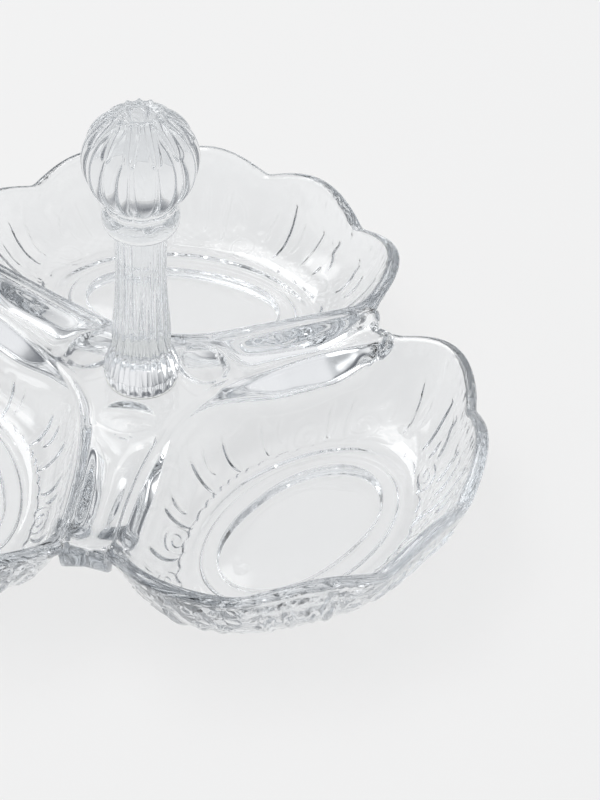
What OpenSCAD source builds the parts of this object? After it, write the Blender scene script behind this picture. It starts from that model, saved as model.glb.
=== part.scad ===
// Pressed-glass chip and dip server: a one-piece tray of three scalloped oval bowls that meet
// at a raised centre plate, a fluted glass carrying handle that stands on the plate, and the
// thin clear adhesive film between the two.
// Z = 0 is the surface it stands on and Z is the axis of the handle. One bowl points along +Y.

/* [Bowls] */
// Distance from the handle's axis to the middle of each bowl
bowl_offset = 70; // [69:0.5:72]
// Length of a bowl's flat floor, across the line to the handle
floor_l = 86; // [80:1:90]
// Width of a bowl's flat floor, along the line to the handle
floor_w = 54; // [50:1:58]
// Height of the bowl floor above the table
floor_z = 6.5; // [5:0.5:8]
// How full the inside of the wall is: 1 is a straight slope, more is rounder
inner_fullness = 2.2; // [1.6:0.1:2.4]
// How full the outside of the wall is
outer_fullness = 2.7; // [2.5:0.1:3]

/* [Foot ring] */
// Outer length of the oval ring that a bowl stands on
foot_l = 82.4; // [78:0.2:84]
// Outer width of the oval ring
foot_w = 50.4; // [46:0.2:52]
// Width of the flat face of the ring
ring_w = 6; // [4:0.5:8]
// Depth of the recess inside the ring
recess_h = 3.4; // [2:0.2:4]

/* [Rim] */
// Thickness of the rounded rim
rim_t = 4.5; // [4:0.25:5]
// Height of the dips between the rim's lobes
rim_z = 30; // [28:0.5:32]
// How far each lobe rises above the dips
lobe_rise = 6.8; // [4:0.2:8]
// How far the end and corner lobes bulge outwards
lobe_bulge = 5; // [3:0.5:6]
// How far the two side lobes bulge outwards
side_bulge = 11.5; // [9:0.5:13]
// How far the side next to the centre plate bulges towards the handle
plate_bulge = 3.5; // [2:0.5:4.5]

/* [Centre plate and webs] */
// Height of the flat centre plate's top
plate_z = 29.5; // [28.5:0.5:30.5]
// Thickness of the plate and of the webs
plate_t = 5.5; // [4.5:0.5:6.5]
// Height of the valley between two bowls
valley_z = 23; // [22:0.5:25]
// Height of the web's outer edge
edge_z = 28; // [27:0.5:29]

/* [Handle] */
// Height of the whole server
total_h = 136.9; // [130:0.5:145]
// Diameter of the ball knob
knob_d = 37.6; // [34:0.2:38]
// Diameter of the collar under the knob
collar_d = 25.4; // [24:0.2:27]
// Diameter of the narrowest part of the stem
stem_d = 16.8; // [15:0.2:19]
// Diameter of the handle's foot at its widest
handle_foot_d = 26; // [24:0.5:28]
// Depth of the stem's flutes
flute_depth = 0.9; // [0.4:0.1:1.2]
// Depth of the creases between the knob's ribs
rib_depth = 1.3; // [0.6:0.1:1.8]
// Thickness of the adhesive film
film_t = 0.15; // [0.1:0.05:0.2]

/* [Hidden] */
glass = [0.86, 0.9, 0.93, 0.55];
film = [0.95, 0.95, 0.9, 0.6];

// Corners of one half of a bowl's outline at the outside of the rim: outwards, across, up.
// The bowl's middle is the origin, and the other half is its mirror image.
corner_end = [50, 22, rim_z - 0.5];
corner_side = [24, 60.5, rim_z + 0.3];
corner_web = [-20.5, 69.5, rim_z + 1];
corner_plate = [-46.5, 19.5, plate_z - 0.2];
// Steps along the half end lobe, the corner lobe, the side lobe, the web side and the plate side
steps = [3, 6, 6, 8, 5];
web_start = steps[0] + steps[1] + steps[2];
web_corner = web_start + 1;
wall_steps = 7;
web_steps = 6;
// The sides next to the webs and the plate are almost straight and almost level
web_side_bulge = 1.5;
web_side_rise = 1;
plate_side_rise = 0.2;
// The rim's outer edge lies this far below its crest
rim_edge_drop = 1.7;
// Height at which the outside of the wall leaves the foot ring
wall_foot_z = 0.9;
// How far the wall's outside and the web's underside are blended together
underside_blend = 3;

// Distances from the handle's axis, along the line half way between two bowls, over which the
// plate falls to the valley and the valley rises to the web's outer edge
valley_fall = [27, 40];
edge_climb = [64, 82];
// The web thickens downwards by edge_extra over this distance from the axis
edge_swell = [74, 84];
edge_extra = 1;
// Shallow oval dish in each corner of the plate: distance from the axis, half width, half length, depth
dish_at = 21;
dish_half_w = 6;
dish_half_l = 9.5;
dish_depth = 0.9;

// ---------- small helpers ----------

function smooth_min(a, b, k) = let (h = max(k - abs(a - b), 0) / k) min(a, b) - h * h * k / 4;
function smooth_max(a, b, k) = -smooth_min(-a, -b, k);
function smooth_step(a, b, x) = let (t = min(max((x - a) / (b - a), 0), 1)) t * t * (3 - 2 * t);
function mix(a, b, t) = a + (b - a) * t;
function flip(p) = [p.x, -p.y, p.z];
function snap(p) = [for (v = p) round(v * 10000) / 10000];

// A point at t on a curve from corner a to corner b that bulges outwards and upwards between them
function arc_point(a, b, bulge, rise, t) =
    let (d = [b.x - a.x, b.y - a.y], n = [d.y, -d.x] / norm(d), s = sin(180 * t))
    mix(a, b, t) + [n.x * bulge * pow(s, 0.8), n.y * bulge * pow(s, 0.8), rise * s];

function arc_points(a, b, bulge, rise, n) =
    [for (i = [0:n - 1]) arc_point(a, b, bulge, rise, i / n)];

// Radius of an oval, of the given width and length, in the direction of angle a
function oval_radius(w, l, a) = 1 / norm([2 * cos(a) / w, 2 * sin(a) / l]);

// ---------- rim outline: one point per ray from the bowl's middle ----------

half_rim = concat(
    [for (i = [0:steps[0] - 1])
        arc_point(flip(corner_end), corner_end, lobe_bulge - 1, lobe_rise, 0.5 + i / steps[0] / 2)],
    arc_points(corner_end, corner_side, lobe_bulge, lobe_rise, steps[1]),
    arc_points(corner_side, corner_web, side_bulge, lobe_rise - 1, steps[2]),
    arc_points(corner_web, corner_plate, web_side_bulge, web_side_rise, steps[3]),
    [for (i = [0:steps[4]])
        arc_point(corner_plate, flip(corner_plate), plate_bulge, plate_side_rise, i / steps[4] / 2)]
);
half_n = len(half_rim) - 1;
rim = concat(half_rim, [for (i = [half_n - 1:-1:1]) flip(half_rim[i])]);
ray_n = len(rim);
ray_angle = [for (p = rim) atan2(p.y, p.x)];
ray_length = [for (p = rim) norm([p.x, p.y])];

// A ray's place in its half, counted from the outermost point of the bowl
function half_index(i) = i <= half_n ? i : ray_n - i;

// ---------- height of the plate, the valleys and the webs' outer edges ----------

function web_height(x, y) =
    let (r = norm([x + bowl_offset, y]), a = 60 - atan2(abs(y), x + bowl_offset),
         along = r * cos(a), across = r * sin(a),
         dish = max(1 - pow((along - dish_at) / dish_half_w, 2) - pow(across / dish_half_l, 2), 0))
    plate_z - (plate_z - valley_z) * smooth_step(valley_fall[0], valley_fall[1], along)
        + (edge_z - valley_z) * smooth_step(edge_climb[0], edge_climb[1], along) - dish_depth * dish;

function web_underside(x, y) =
    web_height(x, y) - plate_t
        - edge_extra * smooth_step(edge_swell[0], edge_swell[1], norm([x + bowl_offset, y]));

// ---------- rings of points, from the middle of the bowl outwards ----------

function ray_point(i, s, z) = [s * cos(ray_angle[i]), s * sin(ray_angle[i]), z];

function rim_edge_z(i) =
    let (z = rim[i].z - rim_edge_drop)
    half_index(i) < web_start ? z : smooth_max(z, web_height(rim[i].x, rim[i].y), 1);

function inside_point(i, w) =
    let (a = oval_radius(floor_w, floor_l, ray_angle[i]), b = ray_length[i] - rim_t)
    ray_point(i, mix(a, b, w), mix(floor_z, rim[i].z - 1, pow(w, inner_fullness)));

function rim_point(i, inset, drop) =
    ray_point(i, ray_length[i] - inset * rim_t, mix(rim[i].z, rim_edge_z(i), drop));

function outside_point(i, w) =
    let (a = oval_radius(foot_w, foot_l, ray_angle[i]),
         z = mix(wall_foot_z, rim[i].z - rim_edge_drop, pow(w, outer_fullness)),
         p = ray_point(i, mix(a, ray_length[i], w), z))
    half_index(i) < web_start ? p
    : [p.x, p.y, smooth_min(z, web_underside(p.x, p.y), underside_blend)];

function ring_point(i, inset, z) = ray_point(i, oval_radius(foot_w, foot_l, ray_angle[i]) - inset, z);

// Where a ray that leaves the bowl over a web ends: on the web's outer edge, or half way to the next bowl
function half_way(i) = ray_point(i, bowl_offset * sin(60) / sin(abs(ray_angle[i]) - 60), 0);

function web_end(i) =
    let (h = half_index(i), side = i <= half_n ? 0 : ray_n)
    h >= web_corner ? half_way(i)
    : mix(rim[abs(side - web_start)], half_way(abs(side - web_corner)),
          (h - web_start) / (web_corner - web_start));

// The web starts from nothing at the rim's corner, so all of that ray's points are the corner
function web_top_point(i, w) =
    let (p = mix(rim[i], web_end(i), w), h = web_height(p.x, p.y))
    half_index(i) == web_start ? edge_column[i]
    : [p.x, p.y, mix(h, rim_edge_z(i), pow(1 - w, 2))];

function web_bottom_point(i, w) =
    let (p = mix(rim[i], web_end(i), w))
    half_index(i) == web_start ? edge_column[i] : [p.x, p.y, web_underside(p.x, p.y)];

rays = [0:ray_n - 1];
web_rays = [for (i = [web_start:ray_n - web_start]) i];
edge_column = [for (i = rays) ray_point(i, ray_length[i], rim_edge_z(i))];

// The rounded rim from its inner edge outwards: share of the rim's thickness, share of its drop
rim_profile = [[0.75, 0.15], [0.45, 0], [0.2, 0.3]];

inside_columns = concat(
    [[for (i = rays) [0, 0, floor_z]]],
    [for (j = [0:wall_steps]) [for (i = rays) inside_point(i, pow(j / wall_steps, 0.8))]],
    [for (r = rim_profile) [for (i = rays) rim_point(i, r[0], r[1])]],
    [edge_column]
);
outside_columns = concat(
    [[for (i = rays) [0, 0, recess_h]]],
    [[for (i = rays) ring_point(i, ring_w + 0.5, recess_h)]],
    [[for (i = rays) ring_point(i, ring_w, 0)]],
    [[for (i = rays) ring_point(i, 0.3, 0)]],
    [for (j = [0:wall_steps - 1]) [for (i = rays) outside_point(i, j / wall_steps)]],
    [[for (i = rays) half_index(i) > web_start ? outside_point(i, 1) : edge_column[i]]]
);
web_top_columns = concat(
    [[for (i = web_rays) edge_column[i]]],
    [for (j = [1:web_steps]) [for (i = web_rays) web_top_point(i, j / web_steps)]]
);
web_bottom_columns = concat(
    [[for (i = web_rays) outside_columns[len(outside_columns) - 1][i]]],
    [for (j = [1:web_steps]) [for (i = web_rays) web_bottom_point(i, j / web_steps)]]
);
// The vertical outer faces of the webs, at the two ends of the row of web rays
top_ends = web_top_columns[web_steps];
bottom_ends = web_bottom_columns[web_steps];
web_last = len(web_rays) - 1;
edge_faces = [
    [[top_ends[0], top_ends[1]], [bottom_ends[0], bottom_ends[1]]],
    [[top_ends[web_last - 1], top_ends[web_last]], [bottom_ends[web_last - 1], bottom_ends[web_last]]]
];

// ---------- sheets of triangles ----------

// Two triangles for each cell of a grid of points, as a list of corner triples
function sheet(grid, closed, up) = [
    for (j = [0:len(grid) - 2], i = [0:len(grid[0]) - (closed ? 1 : 2)])
        let (k = (i + 1) % len(grid[0]),
             a = grid[j][i], b = grid[j + 1][i], c = grid[j + 1][k], d = grid[j][k])
        each up ? [[a, c, b], [a, d, c]] : [[a, b, c], [a, c, d]]
];

bowl_triangles = concat(
    sheet(inside_columns, true, true),
    sheet(outside_columns, true, false),
    sheet(web_top_columns, false, true),
    sheet(web_bottom_columns, false, false),
    sheet(edge_faces[0], false, true),
    sheet(edge_faces[1], false, true)
);

// Into the tray's own frame, on a grid fine enough that neighbouring bowls share their edge points
function in_tray(p, turn) =
    let (x = p.x + bowl_offset)
    snap([x * cos(turn) - p.y * sin(turn), x * sin(turn) + p.y * cos(turn), p.z]);

tray_triangles = [
    for (turn = [90, -30, 210], t = bowl_triangles)
        let (a = in_tray(t[0], turn), b = in_tray(t[1], turn), c = in_tray(t[2], turn))
        if (a != b && b != c && c != a) [a, b, c]
];

module tray()
    color(glass)
    polyhedron(
        points = [for (t = tray_triangles) each t],
        faces = [for (k = [0:len(tray_triangles) - 1]) [3 * k, 3 * k + 1, 3 * k + 2]]
    );

// ---------- handle ----------

flutes = 18;
ribs = 12;
sides = 72;
bond_sides = 96;
handle_z = plate_z + film_t;
handle_h = total_h - handle_z;
bond_r = 12;
knob_r = knob_d / 2;
// The ball's top is cut flat this far below its full height, and the flat crown has this radius
crown_cut = 1.3;
crown_r = 7.4;
knob_h = handle_h - knob_r + crown_cut;
stem_r = stem_d / 2;
foot_r = handle_foot_d / 2;
collar_r = collar_d / 2;

// Each station of the handle's outline: height, radius, depth of the flutes, depth of the ribs
lower_stations = [
    [0, foot_r - 0.8, 0.3, 0],
    [5.4, foot_r, 0.35, 0],
    [13.3, foot_r - 2.7, 0.5, 0],
    [15, foot_r - 3, flute_depth, 0],
    [22, stem_r + 1.3, flute_depth, 0],
    [34, stem_r + 0.35, flute_depth, 0],
    [46, stem_r, flute_depth, 0],
    [57, stem_r + 0.2, flute_depth, 0],
    [62.6, stem_r + 0.6, flute_depth, 0],
    [63, collar_r - 2.9, 0, 0],
    [64.4, collar_r - 1.2, 0, 0],
    [66.2, collar_r - 0.2, 0, 0],
    [67.8, collar_r, 0, 0],
    [69.4, collar_r - 0.4, 0, 0],
    [70.6, collar_r - 1.3, 0, 0],
    [71.2, collar_r - 2, 0, 0.2],
    [72, collar_r - 1, 0, 0.5],
    [73.2, collar_r - 1, 0, 0.5],
    [74, collar_r - 2, 0, 0.3]
];
knob_stations = [
    for (a = [-50:10:60])
        [knob_h + knob_r * sin(a), knob_r * cos(a), 0, rib_depth * pow(cos(a), 0.5)]
];
crown_stations = [
    [handle_h - 0.9, crown_r + 1, 0, 0.8],
    [handle_h - 0.3, crown_r, 0, 0.7],
    [handle_h, crown_r - 1.5, 0, 0.2]
];
stations = concat(lower_stations, knob_stations, crown_stations);

// Flutes are hollows with a sharp ridge between them; ribs are swellings with a sharp crease between
function handle_radius(s, i) =
    let (f = i * flutes / sides, r = i * ribs / sides)
    s[1] - s[2] * abs(sin(180 * f)) - s[3] * (1 - abs(sin(180 * r)));

function handle_ring(s) = [
    for (i = [0:sides - 1])
        let (a = 360 * i / sides, r = handle_radius(s, i))
        [r * cos(a), r * sin(a), s[0]]
];

handle_columns = concat(
    [[for (i = [0:sides - 1]) [0, 0, 0]]],
    [for (s = stations) handle_ring(s)],
    [[for (i = [0:sides - 1]) [0, 0, handle_h]]]
);
handle_triangles = [
    for (t = sheet(handle_columns, true, false))
        let (a = snap(t[0]), b = snap(t[1]), c = snap(t[2]))
        if (a != b && b != c && c != a) [a, b, c]
];

module handle()
    color(glass)
    translate([0, 0, handle_z])
    polyhedron(
        points = [for (t = handle_triangles) each t],
        faces = [for (k = [0:len(handle_triangles) - 1]) [3 * k, 3 * k + 1, 3 * k + 2]]
    );

// ---------- adhesive film ----------

module handle_bond()
    color(film)
    translate([0, 0, plate_z])
    cylinder(r = bond_r, h = film_t, $fn = bond_sides);

tray();
handle_bond();
handle();
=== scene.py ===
"""The looks of a pressed-glass chip and dip server: a tray of three scalloped oval bowls around a
raised plate, a fluted handle with a ribbed ball knob, and the clear film between the two.

Shapes are worked out in millimetres, in the CAD model's frame, and become metres in make_piece().
"""

import math

import bpy
import numpy as np
from mathutils import Matrix, Vector


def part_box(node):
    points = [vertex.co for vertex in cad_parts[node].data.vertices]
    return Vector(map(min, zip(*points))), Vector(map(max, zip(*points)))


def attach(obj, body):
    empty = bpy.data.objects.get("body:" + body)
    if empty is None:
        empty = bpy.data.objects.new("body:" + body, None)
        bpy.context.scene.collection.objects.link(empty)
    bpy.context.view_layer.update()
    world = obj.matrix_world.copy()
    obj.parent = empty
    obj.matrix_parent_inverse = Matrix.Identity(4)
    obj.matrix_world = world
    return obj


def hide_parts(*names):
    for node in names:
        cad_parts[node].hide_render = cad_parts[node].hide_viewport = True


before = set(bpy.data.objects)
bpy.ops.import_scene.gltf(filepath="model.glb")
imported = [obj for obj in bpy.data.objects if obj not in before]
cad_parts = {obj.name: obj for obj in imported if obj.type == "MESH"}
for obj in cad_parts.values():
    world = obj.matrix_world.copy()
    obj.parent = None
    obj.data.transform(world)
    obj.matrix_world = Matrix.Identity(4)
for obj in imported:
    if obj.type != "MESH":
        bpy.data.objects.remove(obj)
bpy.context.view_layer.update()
MM = 0.001

# ---------- driving dimensions, in millimetres ----------

# Distance from the server's axis to a bowl's middle
BOWL_OFFSET = 70.0
# A bowl's oval floor, and the oval foot ring under it with its recess
FLOOR_W, FLOOR_L, FLOOR_Z = 54.0, 86.0, 6.5
FOOT_W, FOOT_L, RING_W, RECESS_H = 50.4, 82.4, 6.0, 3.4
# Height where the wall's outside starts, and how steeply its inside and outside curve up
WALL_FOOT_Z = 0.9
INNER_FULLNESS, OUTER_FULLNESS = 2.2, 2.7
# The rim: its thickness, its height at the dips, and how far its two edges lie below its crest
RIM_T, RIM_Z, RIM_EDGE_DROP, RIM_INNER_DROP = 4.5, 30.0, 1.7, 1.4
# How far the rim rises and bulges between its dips
LOBE_RISE, LOBE_BULGE, SIDE_BULGE, SIDE_RISE = 6.8, 5.0, 11.5, 5.8
END_BULGE, WEB_SIDE_BULGE, WEB_SIDE_RISE, PLATE_BULGE, PLATE_RISE = 4.0, 1.5, 1.0, 3.5, 0.2
# The plate's top and thickness, and the heights of the valleys and of the webs' edges
PLATE_Z, PLATE_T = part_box("handle_bond")[0].z / MM, 5.5
VALLEY_Z, EDGE_Z = 23.0, 28.0
# Where along a web it falls and climbs, and how far from the axis its underside swells
VALLEY_FALL, EDGE_CLIMB, EDGE_SWELL = (27.0, 40.0), (64.0, 82.0), (74.0, 84.0)
# The oval dish in the plate before each web: its place along the web's middle, its size, and how
# upright its wall is: lower is steeper
DISH_AT, DISH_HALF_W, DISH_HALF_L, DISH_DEPTH, DISH_STEEPNESS = 21.8, 6.8, 9.2, 1.5, 0.25
# Height of the fine lip round a dish, its place and its half width as shares of the dish's own
DISH_LIP, DISH_LIP_AT, DISH_LIP_W = 1.0, 1.14, 0.12

# Corners of one half of a bowl's outline: outwards, across, up
END = np.array([50.0, 22.0, RIM_Z - 0.5])
SIDE = np.array([24.0, 60.5, RIM_Z + 0.3])
WEB = np.array([-20.5, 69.5, RIM_Z + 1.0])
PLATE = np.array([-46.5, 19.5, PLATE_Z - 0.2])
FLIP = np.array([1.0, -1.0, 1.0])

# The rays from a bowl's middle between the outline's corners, this many times finer than the CAD
# model's, and the steps along them
DETAIL = 8
STEPS = np.array([3, 6, 6, 8, 5]) * DETAIL
FLOOR_STEPS, WALL_STEPS, RIM_STEPS, OUTSIDE_STEPS, WEB_STEPS = 4, 30, 9, 56, 34
# The steps up a wall are closer together near its rim
WALL_SPACING = 0.8
# How many times the outline's corner by the plate is smoothed, and how far along it. The rest of the
# outline is only smoothed in the first few of them
PLATE_CORNER_ROUNDING, PLATE_CORNER_REACH = 160, 3.5 * DETAIL
# The underside is softer than the top: where it falls from plate to valley, and its fillets
UNDER_FALL = (12.0, 50.0)
UNDERSIDE_BLEND = 9.0


# ---------- small helpers ----------

def smooth_min(a, b, k):
    h = np.maximum(k - np.abs(a - b), 0) / k
    return np.minimum(a, b) - h * h * k / 4


def smooth_max(a, b, k):
    return -smooth_min(-a, -b, k)


def smooth_step(span, x):
    t = np.clip((x - span[0]) / (span[1] - span[0]), 0, 1)
    return t * t * (3 - 2 * t)


def mix(a, b, t):
    return a + (b - a) * t


def arc(a, b, bulge, rise, t):
    """Points at t on a curve from corner a to corner b that bulges outwards and upwards."""
    d = (b - a)[:2]
    normal = np.array([d[1], -d[0]]) / np.hypot(*d)
    s = np.sin(np.pi * t)
    points = mix(a, b, t[:, None])
    points[:, :2] += np.outer(bulge * s ** 0.8, normal)
    points[:, 2] += rise * s
    return points


def oval_radius(w, l, angle):
    return 1 / np.hypot(2 * np.cos(angle) / w, 2 * np.sin(angle) / l)


# Points are equal when they round to the same step; the shift keeps round numbers off the border
MERGE_STEPS_PER_MM, MERGE_SHIFT = 10000, 0.37


def make_piece(name, points, faces):
    """A closed mesh from points in millimetres, with equal points merged."""
    keys = np.round(points * MERGE_STEPS_PER_MM + MERGE_SHIFT).astype(np.int64)
    _, first, index = np.unique(keys, axis=0, return_index=True, return_inverse=True)
    index = index.reshape(-1)
    merged = []
    for face in index[np.asarray(faces)].tolist():
        kept = [v for k, v in enumerate(face) if v != face[k - 1]]
        if len(set(kept)) == len(kept) > 2:
            merged.append(kept)
    mesh = bpy.data.meshes.new(name)
    mesh.from_pydata((points[first] * MM).tolist(), [], merged)
    mesh.update()
    mesh.shade_smooth()
    piece = bpy.data.objects.new(name, mesh)
    bpy.context.scene.collection.objects.link(piece)
    return piece


class Grid:
    """Collects sheets of points and the quads between them."""

    def __init__(self):
        self.points, self.faces, self.count = [], [], 0

    def sheet(self, points, closed, up):
        """points has one row of points for each step; a closed sheet joins its last ray to its first."""
        rows, rays = points.shape[:2]
        index = self.count + np.arange(rows * rays).reshape(rows, rays)
        following = np.roll(index, -1, axis=1)
        if not closed:
            index, following = index[:, :-1], following[:, :-1]
        quads = np.stack([index[:-1], following[:-1], following[1:], index[1:]], -1).reshape(-1, 4)
        self.faces.append(quads if not up else quads[:, ::-1])
        self.points.append(points.reshape(-1, 3))
        self.count += rows * rays


# ---------- one bowl, in its own frame ----------

def rim_outline():
    """The rim's outer edge, one point for each ray, from the outermost point round to it again."""
    def shares(k):
        return np.arange(STEPS[k]) / STEPS[k]
    half = np.concatenate([
        arc(END * FLIP, END, END_BULGE, LOBE_RISE, 0.5 + shares(0) / 2),
        arc(END, SIDE, LOBE_BULGE, LOBE_RISE, shares(1)),
        arc(SIDE, WEB, SIDE_BULGE, SIDE_RISE, shares(2)),
        arc(WEB, PLATE, WEB_SIDE_BULGE, WEB_SIDE_RISE, shares(3)),
        arc(PLATE, PLATE * FLIP, PLATE_BULGE, PLATE_RISE, np.append(shares(4), 1) / 2),
    ])
    rim = np.concatenate([half, half[-2:0:-1] * FLIP])
    index = np.minimum(np.arange(len(rim)), len(rim) - np.arange(len(rim)))
    corner = STEPS[:4].sum()
    rounding = 1 - smooth_step((0.5, 1), np.abs(index - corner) / PLATE_CORNER_REACH)
    for k in range(PLATE_CORNER_ROUNDING):
        share = 1 if k < DETAIL // 2 else rounding[:, None]
        rim = mix(rim, (np.roll(rim, 1, 0) + 2 * rim + np.roll(rim, -1, 0)) / 4, share)
    return rim


RIM = rim_outline()
RAYS = len(RIM)
ANGLE = np.arctan2(RIM[:, 1], RIM[:, 0])
LENGTH = np.hypot(RIM[:, 0], RIM[:, 1])
HALF_INDEX = np.minimum(np.arange(RAYS), RAYS - np.arange(RAYS))
WEB_START = int(STEPS[:3].sum())
WEB_CORNER = WEB_START + DETAIL
OVER_WEB = HALF_INDEX >= WEB_START


def web_place(x, y):
    """Distances from the server's axis: in a straight line, along the middle of a web, and across it."""
    r = np.hypot(x + BOWL_OFFSET, y)
    turn = np.radians(60) - np.arctan2(np.abs(y), x + BOWL_OFFSET)
    return r, r * np.cos(turn), r * np.sin(turn)


def web_height(x, y):
    """Height of the plate, of the valleys between bowls and of the webs' outer edges."""
    _, along, across = web_place(x, y)
    reach = np.hypot((along - DISH_AT) / DISH_HALF_W, across / DISH_HALF_L)
    lip = DISH_LIP * np.exp(-((reach - DISH_LIP_AT) / DISH_LIP_W) ** 2)
    dish = DISH_DEPTH * np.clip(1 - reach ** 2, 0, 1) ** DISH_STEEPNESS - lip
    fall = (PLATE_Z - VALLEY_Z) * smooth_step(VALLEY_FALL, along)
    climb = (EDGE_Z - VALLEY_Z) * smooth_step(EDGE_CLIMB, along)
    return PLATE_Z - fall + climb - dish


def web_underside(x, y):
    r, along, _ = web_place(x, y)
    fall = (PLATE_Z - VALLEY_Z) * smooth_step(UNDER_FALL, along)
    climb = (EDGE_Z - VALLEY_Z) * smooth_step(EDGE_CLIMB, along)
    return PLATE_Z - fall + climb - PLATE_T - smooth_step(EDGE_SWELL, r)


def on_rays(radius, height):
    """Points at the given distances along the rays."""
    height = np.broadcast_to(height, radius.shape)
    return np.stack([radius * np.cos(ANGLE), radius * np.sin(ANGLE), height], -1)


def rim_edge_height():
    level = RIM[:, 2] - RIM_EDGE_DROP
    return np.where(OVER_WEB, smooth_max(level, web_height(RIM[:, 0], RIM[:, 1]), 1.0), level)


# Where the rim's crest lies, as a share of its thickness from its outer edge, and how nearly its
# inner roll is a quarter of an ellipse
CREST, ROLL = 0.45, 0.98


def inside_rows():
    """The middle of the floor, the floor, the wall and the rounded rim, outwards."""
    floor_edge = oval_radius(FLOOR_W, FLOOR_L, ANGLE)
    rows = [on_rays(floor_edge * k / FLOOR_STEPS, FLOOR_Z) for k in range(FLOOR_STEPS)]
    for k in range(WALL_STEPS + 1):
        w = (k / WALL_STEPS) ** WALL_SPACING
        height = mix(FLOOR_Z, RIM[:, 2] - RIM_INNER_DROP, w ** INNER_FULLNESS)
        rows.append(on_rays(mix(floor_edge, LENGTH - RIM_T, w), height))
    for k in range(1, RIM_STEPS + 1):
        t = 1 - k / RIM_STEPS
        drop = RIM_INNER_DROP * (1 - math.sqrt(1 - ROLL * t * t)) / (1 - math.sqrt(1 - ROLL))
        rows.append(on_rays(LENGTH - RIM_T * mix(CREST, 1, t), RIM[:, 2] - drop))
    for k in range(1, RIM_STEPS + 1):
        turn = np.pi / 2 * k / RIM_STEPS
        height = mix(RIM[:, 2], rim_edge_height(), 1 - math.cos(turn))
        rows.append(on_rays(LENGTH - RIM_T * CREST * (1 - math.sin(turn)), height))
    return np.array(rows)


# The foot ring's inner wall is knurled up to this height, and rounded into the recess above it
KNURL_H, KNURL_DEPTH, KNURL_ROWS, FILLET_ROWS = 3.2, 0.4, 8, 2
# Rays to each knurl, and how squarely the knurls start and end up the wall: lower is squarer
KNURL_RAYS, KNURL_TAPER = 4.6, 0.3
# The flat of the foot ring and its rounded outer edge: inset from the foot's oval, and height
RING_PROFILE = ((RING_W - 0.3, 0), (4.5, 0), (2.4, 0), (1.5, 0),
                (1.0, 0.06), (0.6, 0.2), (0.3, 0.42), (0.1, 0.66))


def underside_rows():
    """The recess, the foot ring's knurled inner wall and its flat, outwards to the wall's foot."""
    foot = oval_radius(FOOT_W, FOOT_L, ANGLE)
    rows = [on_rays(foot * k, RECESS_H) for k in (0, 0.2, 0.4)]
    fillet = RECESS_H - KNURL_H
    for k in range(FILLET_ROWS):
        turn = math.pi / 2 * k / FILLET_ROWS
        height = KNURL_H + fillet * math.cos(turn)
        rows.append(on_rays(foot - RING_W - fillet * (1 - math.sin(turn)), height))
    for k in range(KNURL_ROWS + 1):
        t = k / KNURL_ROWS
        knurl = np.abs(np.sin(math.pi * (np.arange(RAYS) / KNURL_RAYS + k / 2)))
        depth = KNURL_DEPTH * knurl * math.sin(math.pi * t) ** KNURL_TAPER
        rows.append(on_rays(foot - RING_W - depth, KNURL_H * (1 - t)))
    rows += [on_rays(foot - inset, z) for inset, z in RING_PROFILE]
    return np.array(rows)


def wall_height(radius, rays=slice(None)):
    """Height of the wall's outside at a distance along the rays, carried on past the rim."""
    foot = oval_radius(FOOT_W, FOOT_L, ANGLE[rays])
    w = np.clip((radius - foot) / (LENGTH[rays] - foot), 0, 3)
    return mix(WALL_FOOT_Z, RIM[rays, 2] - RIM_EDGE_DROP, w ** OUTER_FULLNESS)


def underside_height(radius, rays=slice(None)):
    """The wall's outside and the web's underside, blended into each other."""
    under = web_underside(radius * np.cos(ANGLE[rays]), radius * np.sin(ANGLE[rays]))
    return smooth_min(wall_height(radius, rays), under, UNDERSIDE_BLEND)


def outside_rows():
    """The outside of the wall, from the foot ring up to the rim's outer edge."""
    foot = oval_radius(FOOT_W, FOOT_L, ANGLE)
    joining = smooth_step((WEB_START - 1, WEB_START + DETAIL), HALF_INDEX)
    rows = []
    for k in range(OUTSIDE_STEPS + 1):
        radius = mix(foot, LENGTH, (k / OUTSIDE_STEPS) ** WALL_SPACING)
        height = mix(wall_height(radius), underside_height(radius), joining)
        if k == OUTSIDE_STEPS:
            height = np.where(HALF_INDEX <= WEB_START, rim_edge_height(), height)
        rows.append(on_rays(radius, height))
    return np.array(rows)


# ---------- the pressed pattern on the outside of the walls ----------

# A motif gives its height, from 0 to 1, at distances a across and b up the wall from its origin


def turned(a, b, degrees):
    """Distances across and up, in axes turned by an angle."""
    c, s = math.cos(math.radians(degrees)), math.sin(math.radians(degrees))
    return a * c - b * s, a * s + b * c


def frond(a, b, reach, length, width):
    """A slim raised stroke that grows up the wall from the origin and bends aside towards its tip."""
    t = np.clip(b / length, 0, 1)
    half = width / 2 * np.clip(np.sin(np.pi * t ** 0.7), 1e-6, 1) ** 0.7
    return np.clip(1 - ((a - reach * t ** 1.7) / half) ** 2, 0, 1) ** 1.2


def leaf(a, b, degrees, length, width):
    """A pointed leaf with a midrib, growing from the origin."""
    a, b = turned(a, b, degrees)
    t = np.clip(b / length, 0, 1)
    half = width / 2 * np.clip(np.sin(np.pi * t ** 0.8), 1e-6, 1) ** 0.8
    dome = np.clip(1 - (a / half) ** 2, 0, 1) ** 0.9
    return dome * (1 - 0.45 * np.exp(-(a / 0.7) ** 2))


def scroll(a, b, hand, radius):
    """A flat spiral of two turns, of the given hand."""
    r, turn = np.hypot(a, b), np.arctan2(b, a * hand)
    pitch = radius / 2
    phase = r / pitch - turn / (2 * np.pi)
    swing = 0.5 + 0.5 * np.cos(2 * np.pi * phase)
    return swing * (1 - smooth_step((radius - 1, radius + 1), r))


def rosette(a, b, radius):
    r, turn = np.hypot(a, b), np.arctan2(b, a)
    petals = radius * (0.72 + 0.28 * np.abs(np.cos(3 * turn)))
    dome = np.clip(1 - (r / petals) ** 2, 0, 1) ** 0.8
    return dome * (1 - 0.45 * np.exp(-((r - 1.7) / 0.6) ** 2))


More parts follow.
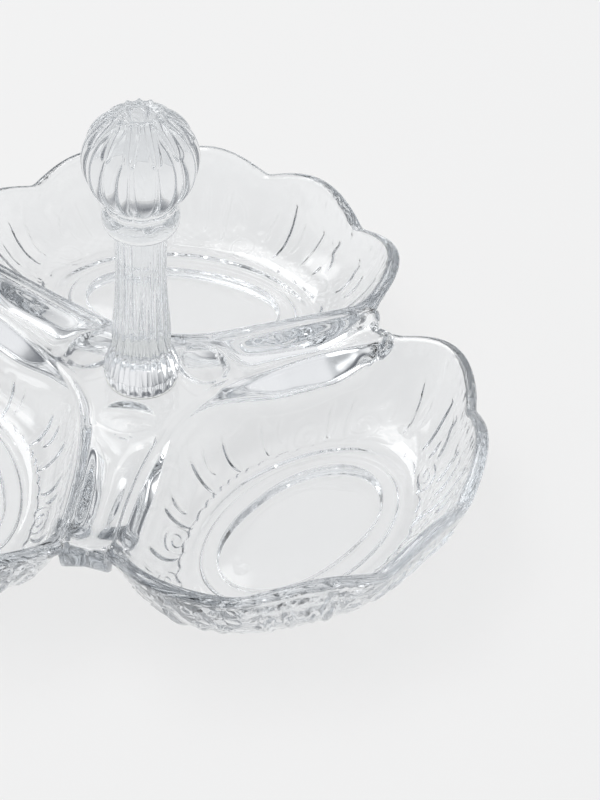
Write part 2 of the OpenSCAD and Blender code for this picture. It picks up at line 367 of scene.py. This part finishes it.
# Heights up the wall are shares of its rows, from 0 at the foot ring to 1 at the rim's outer edge.
# The wall is a little thicker in a band round the foot, up to a scalloped line
BAND_TOP, BAND_SCALLOP, BAND_WAVES, BAND_DEPTH = 0.2, 0.035, 34, 1.1
# A fine lattice above the band, and uneven pebbles under the rim
LATTICE_RAYS, LATTICE_ROWS, LATTICE_DEPTH = 7, 12, 0.35
PEBBLE_RAYS, PEBBLE_ROWS, PEBBLE_DEPTH = 3.4, 12, 0.7
# The pattern never reaches lower than this above the surface that the foot rings stand on
CLEARANCE = 0.2
# How far a frond's tip bends aside, as a share of its distance from the fan's middle
FAN_BEND = 0.45
# The fans of fronds on the lobes, under the webs and under the plate
LOBE_FAN = {"count": 5, "spread": 6.0, "length": 18, "width": 4.0, "depth": 1.0}
WEB_FAN = {"count": 2, "spread": 6.5, "length": 18, "width": 5.0, "depth": 1.0}
PLATE_FAN = {"count": 3, "spread": 7.0, "length": 18, "width": 5.0, "depth": 1.0}


def crossed_waves(rays, rows, rays_each, rows_each):
    """A staggered lattice of bumps, rays_each rays apart and rows_each to the height of the wall."""
    across, up = rays / rays_each, rows * rows_each
    return np.abs(np.sin(np.pi * (across + up)) * np.sin(np.pi * (across - up)))


class Wall:
    """The outside wall, unrolled, and how far the motifs stand out of it."""

    def __init__(self, rows):
        self.rows = rows
        across, up = np.roll(rows, -1, 1) - np.roll(rows, 1, 1), np.gradient(rows, axis=0)
        self.normal = np.cross(across, up)
        self.normal /= np.linalg.norm(self.normal, axis=2, keepdims=True)
        step = np.linalg.norm(np.roll(rows, -1, 1) - rows, axis=2)
        self.girth = step.sum(1, keepdims=True)
        self.around = np.cumsum(step, 1) - step
        self.rise = np.cumsum(np.linalg.norm(up, axis=2), 0)
        self.height = np.zeros(rows.shape[:2])

    def place(self, ray, share):
        """Distances across and up the wall from the point at a share of a ray's wall."""
        row = int(round(share * (len(self.rows) - 1)))
        a = self.around - self.around[:, ray % RAYS][:, None]
        a = (a + self.girth / 2) % self.girth - self.girth / 2
        return a, self.rise - self.rise[row]

    def press(self, motif, depth):
        self.height = np.maximum(self.height, depth * motif)

    def fan(self, ray, share, count, spread, length, width, depth):
        """Fronds side by side that bend apart, of uneven length and height."""
        a, b = self.place(ray, share)
        for k in range(count):
            aside = k - (count - 1) / 2
            uneven = math.cos(2.4 * k + ray)
            self.press(frond(a - aside * spread - uneven, b - 3 * uneven, aside * spread * FAN_BEND,
                             length * (1 - 0.35 * uneven), width), depth * (0.75 - 0.25 * uneven))


def pressed_rows():
    """outside_rows() with the pattern standing out of it, between the foot ring and the rim."""
    wall = Wall(outside_rows())
    bounds = [0, STEPS[0], STEPS[0] + STEPS[1], WEB_START]
    middles = [0, (bounds[1] + bounds[2]) // 2, (bounds[2] + bounds[3]) // 2]
    for side in (1, -1):
        for middle in middles:
            wall.fan(side * middle, 0.42, **LOBE_FAN)
            a, b = wall.place(side * middle, 0.3)
            wall.press(rosette(a, b + 1, 3.6), 1.0)
        for dip in bounds[1:]:
            a, b = wall.place(side * dip, 0.44)
            wall.press(scroll(a, b + 3, side, 6.5), 0.6)
            for lean in (-1, 1):
                wall.press(leaf(a - 3 * lean, b - 4, 28 * lean, 13, 4.5), 0.9)
        for share in (0.22, 0.5, 0.78):
            ray = int(side * (WEB_START + share * STEPS[3]))
            a, b = wall.place(ray, 0.36)
            if share == 0.5:
                wall.press(scroll(a, b, side, 7.5), 0.5)
            else:
                wall.fan(ray, 0.3, **WEB_FAN)
    wall.fan(RAYS // 2, 0.3, **PLATE_FAN)
    rows = np.arange(OUTSIDE_STEPS + 1)[:, None] / OUTSIDE_STEPS
    rays = np.arange(RAYS)[None, :]
    wave = BAND_TOP + BAND_SCALLOP * np.abs(np.sin(np.pi * rays / RAYS * BAND_WAVES))
    wall.height += BAND_DEPTH * (1 - smooth_step((-0.02, 0.02), rows - wave))
    clear_of_web = HALF_INDEX < WEB_START
    above_band = smooth_step((0.24, 0.3), rows) * (1 - smooth_step((0.4, 0.5), rows)) * clear_of_web
    lattice = LATTICE_DEPTH * crossed_waves(rays, rows, LATTICE_RAYS, LATTICE_ROWS)
    wall.press(lattice, above_band)
    uneven = 0.5 + 0.5 * np.sin(rays * 0.83 + rows * 31) * np.sin(rays * 0.37 - rows * 17)
    under_rim = smooth_step((0.84, 0.9), rows) * clear_of_web
    pebbles = PEBBLE_DEPTH * (crossed_waves(rays, rows, PEBBLE_RAYS, PEBBLE_ROWS) * uneven)
    wall.press(pebbles, under_rim)
    fade = smooth_step((0.02, 0.14), rows) * (1 - smooth_step((0.91, 0.98), rows))
    under_web = smooth_step((WEB_START - DETAIL, WEB_START), HALF_INDEX)[None, :]
    fade = fade * (1 - under_web * smooth_step((0.55, 0.75), rows))
    pressed = wall.rows + wall.normal * (wall.height * fade)[:, :, None]
    pressed[:, :, 2] = np.maximum(pressed[:, :, 2], CLEARANCE)
    return pressed


# ---------- the webs between a bowl and its neighbours ----------

# Height and half width of the rounded rib along the webs' outer edge
EDGE_ROLL, EDGE_ROLL_W = 1.3, 2.0


def web_ends():
    """Where each ray over a web ends: on the web's outer edge, or half way to the next bowl."""
    wedge = np.maximum(np.abs(ANGLE) - np.radians(60), 0.01)
    ends = on_rays(BOWL_OFFSET * math.sin(math.radians(60)) / np.sin(wedge), 0)[:, :2]
    for side in (1, -1):
        corner = ends[side * WEB_CORNER].copy()
        for k in range(DETAIL):
            ends[side * (WEB_START + k)] = mix(RIM[side * WEB_START, :2], corner, k / DETAIL)
    return ends


def edge_gap(spot):
    """Distance from the straight line along the webs' outer edge."""
    a, b = RIM[WEB_START, :2], web_ends()[WEB_CORNER]
    normal = np.array([b[1] - a[1], a[0] - b[0]]) / np.hypot(*(b - a))
    return (np.column_stack([spot[:, 0], np.abs(spot[:, 1])]) - a) @ normal


def web_rows(lower_edge):
    """Rows of the webs' tops and undersides, from the rim's outer edge to where the rays end."""
    rays = np.arange(WEB_START, RAYS - WEB_START + 1)
    start, ends, edge = RIM[rays, :2], web_ends()[rays], rim_edge_height()[rays]
    top, bottom = [], []
    for k in range(WEB_STEPS + 1):
        w = k / WEB_STEPS
        spot = mix(start, ends, w)
        level = mix(web_height(*spot.T), edge, 0.5 + 0.5 * math.cos(math.pi * w))
        under = underside_height(np.hypot(*spot.T), rays) if k else lower_edge[rays, 2]
        level = level + EDGE_ROLL * np.exp(-(edge_gap(spot) / EDGE_ROLL_W) ** 2) * w
        for row, height in ((top, level), (bottom, under)):
            height = height.copy()
            height[[0, -1]] = edge[[0, -1]]
            row.append(np.column_stack([spot, height]))
    return np.array(top), np.array(bottom)


# Rows round the webs' outer edge, and how far it swells out, as a share of its thickness
EDGE_STEPS, EDGE_ROUND = 10, 0.22


def edge_strip(top, bottom):
    """The webs' outer edge between its top and bottom lines, rounded outwards."""
    thick = (top - bottom)[:, 2]
    run = top[-1] - top[0]
    out = np.array([run[1], -run[0], 0]) / np.hypot(run[0], run[1])
    out *= np.sign(out @ [BOWL_OFFSET + top[0, 0], top[0, 1], 0])
    rows = []
    for k in range(EDGE_STEPS + 1):
        t = k / EDGE_STEPS
        swelling = EDGE_ROUND * math.sin(math.pi * t) ** 0.6 if 0 < k < EDGE_STEPS else 0
        rows.append(mix(top, bottom, t) + np.outer(thick * swelling, out))
    return np.array(rows)


# The rounded knuckle where a web's edge meets a rim: its place from the rim's corner, radius, height
KNUCKLE, KNUCKLE_R, KNUCKLE_OUT = WEB + [-1.0, 1.2, -2.0], 4.2, 2.2
# The turns of the back, right and left bowls about the server's axis
BOWL_TURNS = np.radians([90, -30, 210])
# The glass stays this clear of the film's two faces, inside this radius, so that they don't coincide
AIR_GAP, FILM_REACH = 0.01, 13.5


def set_bowl(points, turn):
    """Points of a bowl in its own frame, moved out from the server's axis and turned about it."""
    spin = np.array([[math.cos(turn), math.sin(turn), 0], [-math.sin(turn), math.cos(turn), 0], [0, 0, 1]])
    return (points + [BOWL_OFFSET, 0, 0]) @ spin


def build_tray():
    grid = Grid()
    inside, outside = inside_rows(), pressed_rows()
    below = np.concatenate([underside_rows(), outside])
    web_top, web_bottom = web_rows(outside[-1])
    bowl = [(inside, True, True), (below, True, False), (web_top, False, True), (web_bottom, False, False)]
    for corner in (slice(0, DETAIL + 1), slice(-DETAIL - 1, None)):
        bowl.append((edge_strip(web_top[-1, corner], web_bottom[-1, corner]), False, True))
    for turn in BOWL_TURNS:
        for rows, closed, up in bowl:
            grid.sheet(set_bowl(rows, turn), closed, up)
    tray = make_piece("pressed_glass_tray", np.concatenate(grid.points), np.concatenate(grid.faces))
    finish_tray(tray)
    return tray


def finish_tray(tray):
    """Raises the knuckles out of the surface, and lowers the plate by the air gap under the film."""
    mesh = tray.data
    points = np.empty(len(mesh.vertices) * 3, np.float32)
    mesh.vertices.foreach_get("co", points)
    points = points.reshape(-1, 3).astype(float)
    normals = np.empty(len(mesh.vertices) * 3, np.float32)
    mesh.vertices.foreach_get("normal", normals)
    normals = normals.reshape(-1, 3)
    for turn in BOWL_TURNS:
        for side in (1, -1):
            gap = np.linalg.norm(points / MM - set_bowl(KNUCKLE * [1, side, 1], turn), axis=1)
            points += normals * (KNUCKLE_OUT * MM * np.exp(-(gap / KNUCKLE_R) ** 2))[:, None]
    plate_top = np.abs(points[:, 2] - PLATE_Z * MM) < AIR_GAP * MM
    bonded = plate_top & (np.hypot(points[:, 0], points[:, 1]) < FILM_REACH * MM)
    points[bonded, 2] -= AIR_GAP * MM
    mesh.vertices.foreach_set("co", points.astype(np.float32).ravel())
    mesh.update()


# ---------- the handle ----------

# Flutes round the stem, ribs round the knob, and points round each row
FLUTES, RIBS, SIDES = 18, 12, 360
HANDLE_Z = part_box("handle")[0].z / MM
HANDLE_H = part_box("handle")[1].z / MM - HANDLE_Z
KNOB_R, STEM_R, HANDLE_FOOT_R, COLLAR_R = 18.8, 8.4, 13.0, 12.7
# The crown's radius, how far the ball's top is cut away for it, and how far its middle is sunk
CROWN_R, CROWN_CUT, CROWN_SUNK = 7.4, 1.3, 0.7
# Height of the knob's middle, and the height of the half above it as a share of a ball's
KNOB_H, KNOB_FLATNESS = HANDLE_H - KNOB_R + CROWN_CUT, 0.93
# Round-ended grooves from the crown down between the ribs: half width, depth, angle above the
# knob's middle where the rounded end starts, and the length of that end
GROOVE_W, GROOVE_DEPTH, GROOVE_END, GROOVE_TIP = 2.1, 1.5, math.radians(33), 3.5
# The skirt's facets end in points at this height and of this length, and are flatter than the stem's
# flutes: lower is flatter
FACET_TOP, FACET_POINT, FACET_FLATNESS = 13.6, 1.6, 0.65


def curve_through(stations, steps):
    """Rows between given stations, on a smooth curve that is level at its turning points."""
    s = np.array(stations, float)
    gap = np.diff(s[:, 0])
    slope = np.diff(s[:, 1:], axis=0) / gap[:, None]
    tangent = np.concatenate([slope[:1], (slope[1:] + slope[:-1]) / 2, slope[-1:]])
    flat = slope[1:] * slope[:-1] <= 0
    tangent[1:-1][flat] = 0
    rows = []
    for k in range(len(s) - 1):
        for t in np.arange(steps) / steps:
            blend = [2 * t**3 - 3 * t**2 + 1, t**3 - 2 * t**2 + t, -2 * t**3 + 3 * t**2, t**3 - t**2]
            parts = [s[k, 1:], tangent[k] * gap[k], s[k + 1, 1:], tangent[k + 1] * gap[k]]
            rows.append(np.concatenate([[mix(s[k, 0], s[k + 1, 0], t)], np.array(blend) @ np.array(parts)]))
    rows.append(s[-1])
    return np.array(rows)


def handle_rows():
    """Rows from the foot to the crown: height, radius, depth of the flutes, and the depth of the
    creases and half width of the grooves between the knob's ribs."""
    foot = [
        [0, HANDLE_FOOT_R - 1.8, 0.15, 0, 0],
        [0.1, HANDLE_FOOT_R - 1.35, 0.2, 0, 0],
        [0.35, HANDLE_FOOT_R - 1.05, 0.35, 0, 0],
        [1.0, HANDLE_FOOT_R - 0.9, 0.7, 0, 0],
        [4.9, HANDLE_FOOT_R - 0.2, 0.85, 0, 0],
        [5.2, HANDLE_FOOT_R - 0.05, 0.85, 0, 0],
        [5.45, HANDLE_FOOT_R - 0.05, 0.85, 0, 0],
        [5.8, HANDLE_FOOT_R - 0.25, 0.85, 0, 0],
        [12.6, HANDLE_FOOT_R - 2.5, 0.85, 0, 0],
        [13.1, HANDLE_FOOT_R - 2.75, 0.8, 0, 0],
        [13.8, HANDLE_FOOT_R - 2.95, 0.7, 0, 0],
    ]
    stem = curve_through([
        [15, HANDLE_FOOT_R - 3.1, 0.6, 0, 0],
        [22, STEM_R + 1.3, 0.7, 0, 0],
        [34, STEM_R + 0.35, 0.5, 0, 0],
        [46, STEM_R, 0.35, 0, 0],
        [57, STEM_R + 0.2, 0.35, 0, 0],
        [62.2, STEM_R + 0.6, 0.35, 0, 0],
    ], 8)
    turn = np.radians(np.linspace(-60, 62, 22))
    none = 0 * turn
    collar = [67.0 + 4.3 * np.sin(turn), COLLAR_R - 3.1 + 3.1 * np.cos(turn), none, none, none]
    turn = np.radians(np.linspace(-70, 70, 12))
    none = 0 * turn
    crease = 0.25 + 0.55 * np.cos(turn)
    ring = [72.6 + 1.15 * np.sin(turn), COLLAR_R - 1.9 + 1.1 * np.cos(turn), none, crease, none]
    turn = np.radians(np.linspace(-50, 58, 72))
    crease = 1.4 * np.cos(turn) ** 0.5
    short = np.maximum(GROOVE_END - turn, 0) * KNOB_R / GROOVE_TIP
    groove = GROOVE_W * np.sqrt(np.clip(1 - short ** 2, 0, 1))
    half_height = KNOB_R * np.where(turn > 0, KNOB_FLATNESS, 1)
    knob = [KNOB_H + half_height * np.sin(turn), KNOB_R * np.cos(turn), 0 * turn, crease, groove]
    crown = [
        [HANDLE_H - 2.1, CROWN_R + 1.8, 0, 1.0, GROOVE_W],
        [HANDLE_H - 1.3, CROWN_R + 1.2, 0, 1.0, GROOVE_W],
        [HANDLE_H - 0.6, CROWN_R + 0.8, 0, 1.0, GROOVE_W],
        [HANDLE_H - 0.2, CROWN_R + 0.4, 0, 0.7, GROOVE_W * 0.9],
        [HANDLE_H, CROWN_R - 0.2, 0, 0.4, GROOVE_W * 0.7],
        [HANDLE_H - 0.1, CROWN_R - 0.9, 0, 0.3, GROOVE_W * 0.4],
        [HANDLE_H - 0.4, CROWN_R - 1.6, 0, 0, 0],
        [HANDLE_H - CROWN_SUNK, CROWN_R - 3.0, 0, 0, 0],
    ]
    return np.concatenate([foot, stem, np.transpose(collar), np.transpose(ring), np.transpose(knob), crown])


def build_handle():
    share = np.arange(SIDES) / SIDES
    flute = np.abs(np.sin(np.pi * FLUTES * share))
    crease = 1 - np.abs(np.sin(np.pi * RIBS * share)) ** 0.5
    aside = ((share * RIBS + 0.5) % 1 - 0.5) * 2 * np.pi / RIBS
    rows = []
    for height, radius, flute_depth, crease_depth, groove in handle_rows():
        hollowed = flute ** mix(FACET_FLATNESS, 1, smooth_step((FACET_TOP, FACET_TOP + 4), height))
        hollow = np.sqrt(np.clip(1 - (radius * aside / max(groove, 0.01)) ** 2, 0, 1)) * groove / GROOVE_W
        r = radius - flute_depth * hollowed - np.maximum(crease_depth * crease, GROOVE_DEPTH * hollow)
        lift = FACET_POINT * (flute - 0.5) * math.exp(-((height - FACET_TOP) / 2.5) ** 2)
        angle = 2 * np.pi * share
        rows.append(np.stack([r * np.cos(angle), r * np.sin(angle), height + lift], -1))
    rows = np.array(rows)
    middle = np.zeros((1, SIDES, 3))
    rows = np.concatenate([middle, rows, middle + [0, 0, HANDLE_H - CROWN_SUNK]]) + [0, 0, HANDLE_Z]
    rows[:2, :, 2] = HANDLE_Z + AIR_GAP
    grid = Grid()
    grid.sheet(rows, True, False)
    return make_piece("pressed_glass_handle", np.concatenate(grid.points), np.concatenate(grid.faces))


# ---------- materials ----------

# The tint of thick glass, which soaks up what this lacks: red the most, and blue the least
THICK_GLASS_TINT = (0.48, 0.53, 0.58, 1)
GLASS_TINT, FILM_TINT = (0.985, 0.993, 0.998), (0.97, 0.97, 0.95)
GLASS_IOR, FILM_IOR = 1.52, 1.47


def clear_glass(name, tint, density, wave_scale, wave_depth, seed):
    """Clear pressed glass: faint cords in its colour, a fire-polished skin with slow waves, and haze.

    density is how strongly it absorbs, wave_scale is in waves to the metre, wave_depth in metres."""
    material = bpy.data.materials.new(name)
    material.use_nodes = True
    nodes, links = material.node_tree.nodes, material.node_tree.links
    shader = nodes["Principled BSDF"]
    shader.inputs["Transmission Weight"].default_value = 1.0
    shader.inputs["IOR"].default_value = GLASS_IOR
    volume = nodes.new("ShaderNodeVolumeAbsorption")
    volume.inputs["Color"].default_value = THICK_GLASS_TINT
    volume.inputs["Density"].default_value = density
    links.new(volume.outputs["Volume"], nodes["Material Output"].inputs["Volume"])
    place = nodes.new("ShaderNodeTexCoord")

    def noise(scale, detail, offset):
        mapping = nodes.new("ShaderNodeMapping")
        mapping.inputs["Location"].default_value = (offset, offset, offset)
        links.new(place.outputs["Object"], mapping.inputs["Vector"])
        texture = nodes.new("ShaderNodeTexNoise")
        texture.inputs["Scale"].default_value = scale
        texture.inputs["Detail"].default_value = detail
        links.new(mapping.outputs["Vector"], texture.inputs["Vector"])
        return texture.outputs["Fac"]

    cords = nodes.new("ShaderNodeValToRGB")
    cords.color_ramp.elements[0].position = 0.35
    cords.color_ramp.elements[0].color = (*(c * 0.975 for c in tint), 1)
    cords.color_ramp.elements[1].position = 0.65
    cords.color_ramp.elements[1].color = (*tint, 1)
    links.new(noise(14, 2, seed), cords.inputs["Fac"])
    links.new(cords.outputs["Color"], shader.inputs["Base Color"])

    haze = nodes.new("ShaderNodeMapRange")
    haze.inputs["From Min"].default_value = 0.4
    haze.inputs["From Max"].default_value = 0.75
    haze.inputs["To Min"].default_value = 0.0
    haze.inputs["To Max"].default_value = 0.015
    links.new(noise(35, 4, seed + 3), haze.inputs["Value"])
    links.new(haze.outputs["Result"], shader.inputs["Roughness"])

    waves = nodes.new("ShaderNodeBump")
    waves.inputs["Strength"].default_value = 1.0
    waves.inputs["Distance"].default_value = wave_depth
    links.new(noise(wave_scale, 1.5, seed + 7), waves.inputs["Height"])
    links.new(waves.outputs["Normal"], shader.inputs["Normal"])
    return material


def cured_film():
    """Clear adhesive: slightly yellow, with finer waves than the glass has and the same faint haze."""
    material = clear_glass("cured_film", FILM_TINT, density=2, wave_scale=300, wave_depth=1e-5, seed=21)
    material.node_tree.nodes["Principled BSDF"].inputs["IOR"].default_value = FILM_IOR
    return material


def dress(piece, material):
    piece.data.materials.clear()
    piece.data.materials.append(material)


tray = build_tray()
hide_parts("tray")
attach(tray, "root")
dress(tray, clear_glass("tray_glass", GLASS_TINT, density=7, wave_scale=55, wave_depth=28e-5, seed=2))

handle = build_handle()
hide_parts("handle")
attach(handle, "root")
dress(handle, clear_glass("handle_glass", GLASS_TINT, density=5, wave_scale=60, wave_depth=4e-6, seed=11))

dress(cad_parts["handle_bond"], cured_film())


# ---------- floor, light and camera ----------

# The room's brightness by the height of the direction looked in, from the horizon upwards
SKY = [(0.0, (0.7, 0.7, 0.7)), (0.08, (0.4, 0.41, 0.43)), (0.22, (0.16, 0.17, 0.19)),
       (0.5, (0.14, 0.15, 0.17)), (0.8, (0.9, 0.91, 0.92))]
# The room's softboxes: direction, the angles in degrees where each starts to fade and ends, and colour.
# They stand behind the server, above it to the left, and to its right and left
PATCHES = [
    ((0.1, 0.78, 0.62), 4, 34, (0.95, 0.95, 0.96)),
    ((-0.5, 0.1, 0.86), 12, 26, (3.4, 3.4, 3.4)),
    ((0.85, 0.3, 0.42), 6, 16, (1.1, 1.1, 1.1)),
    ((-0.95, -0.1, 0.35), 6, 14, (3.4, 3.4, 3.4)),
]
# The plain backdrop that the camera sees past the floor
BACKDROP = (0.855, 0.855, 0.855, 1)
# Half the floor's width, and how far it lies under the foot rings, in metres
FLOOR_HALF, FLOOR_GAP = 4.0, 0.00002


def build_floor():
    """A plain pale floor, lit from within so that it stays even under the clear glass."""
    mesh = bpy.data.meshes.new("floor")
    corners = [(x * FLOOR_HALF, y * FLOOR_HALF, 0) for x, y in ((-1, -1), (1, -1), (1, 1), (-1, 1))]
    mesh.from_pydata(corners, [], [(0, 1, 2, 3)])
    floor = bpy.data.objects.new("floor", mesh)
    bpy.context.scene.collection.objects.link(floor)
    material = bpy.data.materials.new("pale_floor")
    material.use_nodes = True
    shader = material.node_tree.nodes["Principled BSDF"]
    shader.inputs["Base Color"].default_value = (0.12, 0.12, 0.12, 1)
    shader.inputs["Emission Color"].default_value = (1, 1, 1, 1)
    shader.inputs["Emission Strength"].default_value = 0.74
    shader.inputs["Roughness"].default_value = 0.9
    shader.inputs["Specular IOR Level"].default_value = 0.1
    dress(floor, material)
    floor.location.z = -FLOOR_GAP


def build_world():
    """A studio that is bright along the horizon and overhead and dim between, with softboxes.

    The camera itself sees the plain backdrop in its place."""
    world = bpy.data.worlds.new("studio")
    bpy.context.scene.world = world
    world.use_nodes = True
    nodes, links = world.node_tree.nodes, world.node_tree.links
    nodes.clear()
    place = nodes.new("ShaderNodeTexCoord")
    split = nodes.new("ShaderNodeSeparateXYZ")
    links.new(place.outputs["Generated"], split.inputs["Vector"])
    ramp = nodes.new("ShaderNodeValToRGB")
    while len(ramp.color_ramp.elements) < len(SKY):
        ramp.color_ramp.elements.new(0.5)
    for element, (position, colour) in zip(ramp.color_ramp.elements, SKY):
        element.position, element.color = position, (*colour, 1)
    links.new(split.outputs["Z"], ramp.inputs["Fac"])
    colour = ramp.outputs["Color"]
    for direction, inner, outer, level in PATCHES:
        spread = nodes.new("ShaderNodeVectorMath")
        spread.operation = "DOT_PRODUCT"
        spread.inputs[1].default_value = Vector(direction).normalized()
        links.new(place.outputs["Generated"], spread.inputs[0])
        share = nodes.new("ShaderNodeMapRange")
        share.interpolation_type = "SMOOTHSTEP"
        share.inputs["From Min"].default_value = math.cos(math.radians(outer))
        share.inputs["From Max"].default_value = math.cos(math.radians(inner))
        links.new(spread.outputs["Value"], share.inputs["Value"])
        blend = nodes.new("ShaderNodeMix")
        blend.data_type = "RGBA"
        blend.inputs["B"].default_value = (*level, 1)
        links.new(share.outputs["Result"], blend.inputs["Factor"])
        links.new(colour, blend.inputs["A"])
        colour = blend.outputs["Result"]
    room, plain = nodes.new("ShaderNodeBackground"), nodes.new("ShaderNodeBackground")
    links.new(colour, room.inputs["Color"])
    plain.inputs["Color"].default_value = BACKDROP
    seen, pick = nodes.new("ShaderNodeLightPath"), nodes.new("ShaderNodeMixShader")
    links.new(seen.outputs["Is Camera Ray"], pick.inputs["Fac"])
    links.new(room.outputs["Background"], pick.inputs[1])
    links.new(plain.outputs["Background"], pick.inputs[2])
    output = nodes.new("ShaderNodeOutputWorld")
    links.new(pick.outputs["Shader"], output.inputs["Surface"])


def add_softbox(name, place, target, size, power):
    """An area light. It doesn't show through the glass, where its hard edges would look wrong."""
    lamp = bpy.data.lights.new(name, "AREA")
    lamp.shape, lamp.size, lamp.size_y, lamp.energy = "RECTANGLE", size[0], size[1], power
    softbox = bpy.data.objects.new(name, lamp)
    softbox.location = place
    softbox.rotation_euler = (Vector(target) - Vector(place)).to_track_quat("-Z", "Y").to_euler()
    softbox.visible_transmission = False
    bpy.context.scene.collection.objects.link(softbox)


def add_camera():
    """The photograph's own view: long lens, 41 degrees above the horizon, slightly rolled."""
    elevation, roll, swing = math.radians(41.2), math.radians(2.51), math.radians(7.9)
    distance, aside, above, lift = 0.9608, 0.05313, 0.01489, 0.002
    forward = Vector((0, math.cos(elevation), -math.sin(elevation)))
    right = Vector((1, 0, 0))
    up = right.cross(forward)
    place = -distance * forward + aside * right + above * up
    right, up = math.cos(roll) * right + math.sin(roll) * up, math.cos(roll) * up - math.sin(roll) * right
    turn = Matrix.Rotation(swing, 3, "Z")
    matrix = Matrix((turn @ right, turn @ up, turn @ -forward)).transposed().to_4x4()
    matrix.translation = turn @ place + Vector((0, 0, lift))
    data = bpy.data.cameras.new("camera")
    data.lens, data.sensor_width = 127.17, 36
    camera = bpy.data.objects.new("camera", data)
    camera.matrix_world = matrix
    bpy.context.scene.collection.objects.link(camera)
    bpy.context.scene.camera = camera


build_floor()
build_world()
add_softbox("softbox_above", (-0.45, 0.5, 0.9), (0, 0, 0), (0.5, 0.5), 3)
add_camera()

scene = bpy.context.scene
scene.view_settings.view_transform = "Standard"
scene.view_settings.look = "None"
scene.cycles.max_bounces = 32
scene.cycles.transmission_bounces = 32
scene.cycles.glossy_bounces = 12
scene.cycles.diffuse_bounces = 3
scene.cycles.transparent_max_bounces = 16
